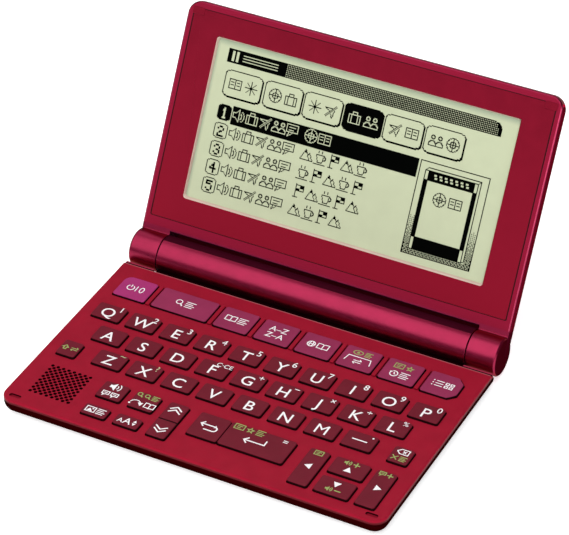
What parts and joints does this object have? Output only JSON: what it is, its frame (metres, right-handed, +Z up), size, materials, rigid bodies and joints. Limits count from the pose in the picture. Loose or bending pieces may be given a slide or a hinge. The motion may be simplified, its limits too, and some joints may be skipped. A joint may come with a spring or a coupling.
{
  "type": "electronic dictionary",
  "caption": "Clamshell pocket electronic dictionary: a keyboard base with sprung keys, a round hinge barrel that holds the batteries, and a tilting lid with a monochrome display.",
  "frame": {"origin": "on the table, midway across the body and midway between the base's front edge and the open lid's rearmost point", "axes": "+X to the user's right, +Y away from the user, +Z up; the lid rests open at 119.1 degrees"},
  "size_m": [0.142, 0.1414, 0.0858],
  "materials": {
    "case_red": "satin crimson with a fine metallic fleck",
    "lid_red": "satin crimson with a fine metallic fleck",
    "letter_key": "dark wine, satin, white legends",
    "function_key": "magenta, satin, white legends",
    "power_key": "brighter magenta, satin, white legend",
    "display_cream": "pale cream-green reflective display",
    "mat_rubber": "moulded",
    "board_green": "glass-fibre laminate",
    "speaker_metal": "satin",
    "cell_jacket": "printed jacket, unprinted here",
    "pin_steel": "ground",
    "foot_rubber": "matt"
  },
  "bodies": {
    "base": {"bottom_case": "case_red", "key_deck": "case_red", "key_mat": "mat_rubber", "main_board": "board_green", "speaker": "speaker_metal", "batteries": "cell_jacket", "rubber_feet": "foot_rubber"},
    "lid": {"lid_cover": "lid_red", "lid_bezel": "lid_red", "display": "display_cream", "hinge_pins": "pin_steel"},
    "battery_door": {"battery_door": "case_red"},
    "page_rocker": {"page_rocker": "letter_key"},
    "key_power": {"key_power": "power_key"},
    "key_lookup": {"key_lookup": "function_key"},
    "key_book_1": {"key_book_1": "function_key"},
    "key_book_2": {"key_book_2": "function_key"},
    "key_book_3": {"key_book_3": "function_key"},
    "key_switch": {"key_switch": "function_key"},
    "key_history": {"key_history": "function_key"},
    "key_menu": {"key_menu": "function_key"},
    "key_q": {"key_q": "letter_key"},
    "key_w": {"key_w": "letter_key"},
    "key_e": {"key_e": "letter_key"},
    "key_r": {"key_r": "letter_key"},
    "key_t": {"key_t": "letter_key"},
    "key_y": {"key_y": "letter_key"},
    "key_u": {"key_u": "letter_key"},
    "key_i": {"key_i": "letter_key"},
    "key_o": {"key_o": "letter_key"},
    "key_p": {"key_p": "letter_key"},
    "key_a": {"key_a": "letter_key"},
    "key_s": {"key_s": "letter_key"},
    "key_d": {"key_d": "letter_key"},
    "key_f": {"key_f": "letter_key"},
    "key_g": {"key_g": "letter_key"},
    "key_h": {"key_h": "letter_key"},
    "key_j": {"key_j": "letter_key"},
    "key_k": {"key_k": "letter_key"},
    "key_l": {"key_l": "letter_key"},
    "key_z": {"key_z": "letter_key"},
    "key_x": {"key_x": "letter_key"},
    "key_c": {"key_c": "letter_key"},
    "key_v": {"key_v": "letter_key"},
    "key_b": {"key_b": "letter_key"},
    "key_n": {"key_n": "letter_key"},
    "key_m": {"key_m": "letter_key"},
    "key_dash": {"key_dash": "letter_key"},
    "key_shift": {"key_shift": "letter_key"},
    "key_delete": {"key_delete": "letter_key"},
    "key_voice": {"key_voice": "letter_key"},
    "key_jump": {"key_jump": "letter_key"},
    "key_figure": {"key_figure": "letter_key"},
    "key_text_size": {"key_text_size": "letter_key"},
    "key_back": {"key_back": "letter_key"},
    "key_enter": {"key_enter": "letter_key"},
    "key_left": {"key_left": "letter_key"},
    "key_up": {"key_up": "letter_key"},
    "key_down": {"key_down": "letter_key"},
    "key_right": {"key_right": "letter_key"}
  },
  "joints": [
    {"name": "lid_hinge", "type": "hinge", "parent": "base", "child": "lid", "pos_m": [0, 0.02249, 0.0079], "axis": [1, 0, 0], "range_deg": [-30, 119.1]},
    {"name": "battery_door_slide", "type": "slide", "parent": "base", "child": "battery_door", "axis": [0, 1, 0], "range_m": [0, 0.014]},
    {"name": "page_rocker_tilt", "type": "hinge", "parent": "base", "child": "page_rocker", "pos_m": [-0.01397, -0.05692, 0.0052], "axis": [1, 0, 0], "range_deg": [-3, 3], "stiffness_Nm_per_rad": 0.03},
    {"name": "key_power_press", "type": "slide", "parent": "base", "child": "key_power", "axis": [0, 0, -1], "range_m": [0, 0.0006], "stiffness_N_per_m": 400},
    {"name": "key_lookup_press", "type": "slide", "parent": "base", "child": "key_lookup", "axis": [0, 0, -1], "range_m": [0, 0.0006], "stiffness_N_per_m": 400},
    {"name": "key_book_1_press", "type": "slide", "parent": "base", "child": "key_book_1", "axis": [0, 0, -1], "range_m": [0, 0.0006], "stiffness_N_per_m": 400},
    {"name": "key_book_2_press", "type": "slide", "parent": "base", "child": "key_book_2", "axis": [0, 0, -1], "range_m": [0, 0.0006], "stiffness_N_per_m": 400},
    {"name": "key_book_3_press", "type": "slide", "parent": "base", "child": "key_book_3", "axis": [0, 0, -1], "range_m": [0, 0.0006], "stiffness_N_per_m": 400},
    {"name": "key_switch_press", "type": "slide", "parent": "base", "child": "key_switch", "axis": [0, 0, -1], "range_m": [0, 0.0006], "stiffness_N_per_m": 400},
    {"name": "key_history_press", "type": "slide", "parent": "base", "child": "key_history", "axis": [0, 0, -1], "range_m": [0, 0.0006], "stiffness_N_per_m": 400},
    {"name": "key_menu_press", "type": "slide", "parent": "base", "child": "key_menu", "axis": [0, 0, -1], "range_m": [0, 0.0006], "stiffness_N_per_m": 400},
    {"name": "key_q_press", "type": "slide", "parent": "base", "child": "key_q", "axis": [0, 0, -1], "range_m": [0, 0.0006], "stiffness_N_per_m": 400},
    {"name": "key_w_press", "type": "slide", "parent": "base", "child": "key_w", "axis": [0, 0, -1], "range_m": [0, 0.0006], "stiffness_N_per_m": 400},
    {"name": "key_e_press", "type": "slide", "parent": "base", "child": "key_e", "axis": [0, 0, -1], "range_m": [0, 0.0006], "stiffness_N_per_m": 400},
    {"name": "key_r_press", "type": "slide", "parent": "base", "child": "key_r", "axis": [0, 0, -1], "range_m": [0, 0.0006], "stiffness_N_per_m": 400},
    {"name": "key_t_press", "type": "slide", "parent": "base", "child": "key_t", "axis": [0, 0, -1], "range_m": [0, 0.0006], "stiffness_N_per_m": 400},
    {"name": "key_y_press", "type": "slide", "parent": "base", "child": "key_y", "axis": [0, 0, -1], "range_m": [0, 0.0006], "stiffness_N_per_m": 400},
    {"name": "key_u_press", "type": "slide", "parent": "base", "child": "key_u", "axis": [0, 0, -1], "range_m": [0, 0.0006], "stiffness_N_per_m": 400},
    {"name": "key_i_press", "type": "slide", "parent": "base", "child": "key_i", "axis": [0, 0, -1], "range_m": [0, 0.0006], "stiffness_N_per_m": 400},
    {"name": "key_o_press", "type": "slide", "parent": "base", "child": "key_o", "axis": [0, 0, -1], "range_m": [0, 0.0006], "stiffness_N_per_m": 400},
    {"name": "key_p_press", "type": "slide", "parent": "base", "child": "key_p", "axis": [0, 0, -1], "range_m": [0, 0.0006], "stiffness_N_per_m": 400},
    {"name": "key_a_press", "type": "slide", "parent": "base", "child": "key_a", "axis": [0, 0, -1], "range_m": [0, 0.0006], "stiffness_N_per_m": 400},
    {"name": "key_s_press", "type": "slide", "parent": "base", "child": "key_s", "axis": [0, 0, -1], "range_m": [0, 0.0006], "stiffness_N_per_m": 400},
    {"name": "key_d_press", "type": "slide", "parent": "base", "child": "key_d", "axis": [0, 0, -1], "range_m": [0, 0.0006], "stiffness_N_per_m": 400},
    {"name": "key_f_press", "type": "slide", "parent": "base", "child": "key_f", "axis": [0, 0, -1], "range_m": [0, 0.0006], "stiffness_N_per_m": 400},
    {"name": "key_g_press", "type": "slide", "parent": "base", "child": "key_g", "axis": [0, 0, -1], "range_m": [0, 0.0006], "stiffness_N_per_m": 400},
    {"name": "key_h_press", "type": "slide", "parent": "base", "child": "key_h", "axis": [0, 0, -1], "range_m": [0, 0.0006], "stiffness_N_per_m": 400},
    {"name": "key_j_press", "type": "slide", "parent": "base", "child": "key_j", "axis": [0, 0, -1], "range_m": [0, 0.0006], "stiffness_N_per_m": 400},
    {"name": "key_k_press", "type": "slide", "parent": "base", "child": "key_k", "axis": [0, 0, -1], "range_m": [0, 0.0006], "stiffness_N_per_m": 400},
    {"name": "key_l_press", "type": "slide", "parent": "base", "child": "key_l", "axis": [0, 0, -1], "range_m": [0, 0.0006], "stiffness_N_per_m": 400},
    {"name": "key_z_press", "type": "slide", "parent": "base", "child": "key_z", "axis": [0, 0, -1], "range_m": [0, 0.0006], "stiffness_N_per_m": 400},
    {"name": "key_x_press", "type": "slide", "parent": "base", "child": "key_x", "axis": [0, 0, -1], "range_m": [0, 0.0006], "stiffness_N_per_m": 400},
    {"name": "key_c_press", "type": "slide", "parent": "base", "child": "key_c", "axis": [0, 0, -1], "range_m": [0, 0.0006], "stiffness_N_per_m": 400},
    {"name": "key_v_press", "type": "slide", "parent": "base", "child": "key_v", "axis": [0, 0, -1], "range_m": [0, 0.0006], "stiffness_N_per_m": 400},
    {"name": "key_b_press", "type": "slide", "parent": "base", "child": "key_b", "axis": [0, 0, -1], "range_m": [0, 0.0006], "stiffness_N_per_m": 400},
    {"name": "key_n_press", "type": "slide", "parent": "base", "child": "key_n", "axis": [0, 0, -1], "range_m": [0, 0.0006], "stiffness_N_per_m": 400},
    {"name": "key_m_press", "type": "slide", "parent": "base", "child": "key_m", "axis": [0, 0, -1], "range_m": [0, 0.0006], "stiffness_N_per_m": 400},
    {"name": "key_dash_press", "type": "slide", "parent": "base", "child": "key_dash", "axis": [0, 0, -1], "range_m": [0, 0.0006], "stiffness_N_per_m": 400},
    {"name": "key_shift_press", "type": "slide", "parent": "base", "child": "key_shift", "axis": [0, 0, -1], "range_m": [0, 0.0006], "stiffness_N_per_m": 400},
    {"name": "key_delete_press", "type": "slide", "parent": "base", "child": "key_delete", "axis": [0, 0, -1], "range_m": [0, 0.0006], "stiffness_N_per_m": 400},
    {"name": "key_voice_press", "type": "slide", "parent": "base", "child": "key_voice", "axis": [0, 0, -1], "range_m": [0, 0.0006], "stiffness_N_per_m": 400},
    {"name": "key_jump_press", "type": "slide", "parent": "base", "child": "key_jump", "axis": [0, 0, -1], "range_m": [0, 0.0006], "stiffness_N_per_m": 400},
    {"name": "key_figure_press", "type": "slide", "parent": "base", "child": "key_figure", "axis": [0, 0, -1], "range_m": [0, 0.0006], "stiffness_N_per_m": 400},
    {"name": "key_text_size_press", "type": "slide", "parent": "base", "child": "key_text_size", "axis": [0, 0, -1], "range_m": [0, 0.0006], "stiffness_N_per_m": 400},
    {"name": "key_back_press", "type": "slide", "parent": "base", "child": "key_back", "axis": [0, 0, -1], "range_m": [0, 0.0006], "stiffness_N_per_m": 400},
    {"name": "key_enter_press", "type": "slide", "parent": "base", "child": "key_enter", "axis": [0, 0, -1], "range_m": [0, 0.0006], "stiffness_N_per_m": 400},
    {"name": "key_left_press", "type": "slide", "parent": "base", "child": "key_left", "axis": [0, 0, -1], "range_m": [0, 0.0006], "stiffness_N_per_m": 400},
    {"name": "key_up_press", "type": "slide", "parent": "base", "child": "key_up", "axis": [0, 0, -1], "range_m": [0, 0.0006], "stiffness_N_per_m": 400},
    {"name": "key_down_press", "type": "slide", "parent": "base", "child": "key_down", "axis": [0, 0, -1], "range_m": [0, 0.0006], "stiffness_N_per_m": 400},
    {"name": "key_right_press", "type": "slide", "parent": "base", "child": "key_right", "axis": [0, 0, -1], "range_m": [0, 0.0006], "stiffness_N_per_m": 400}
  ]
}
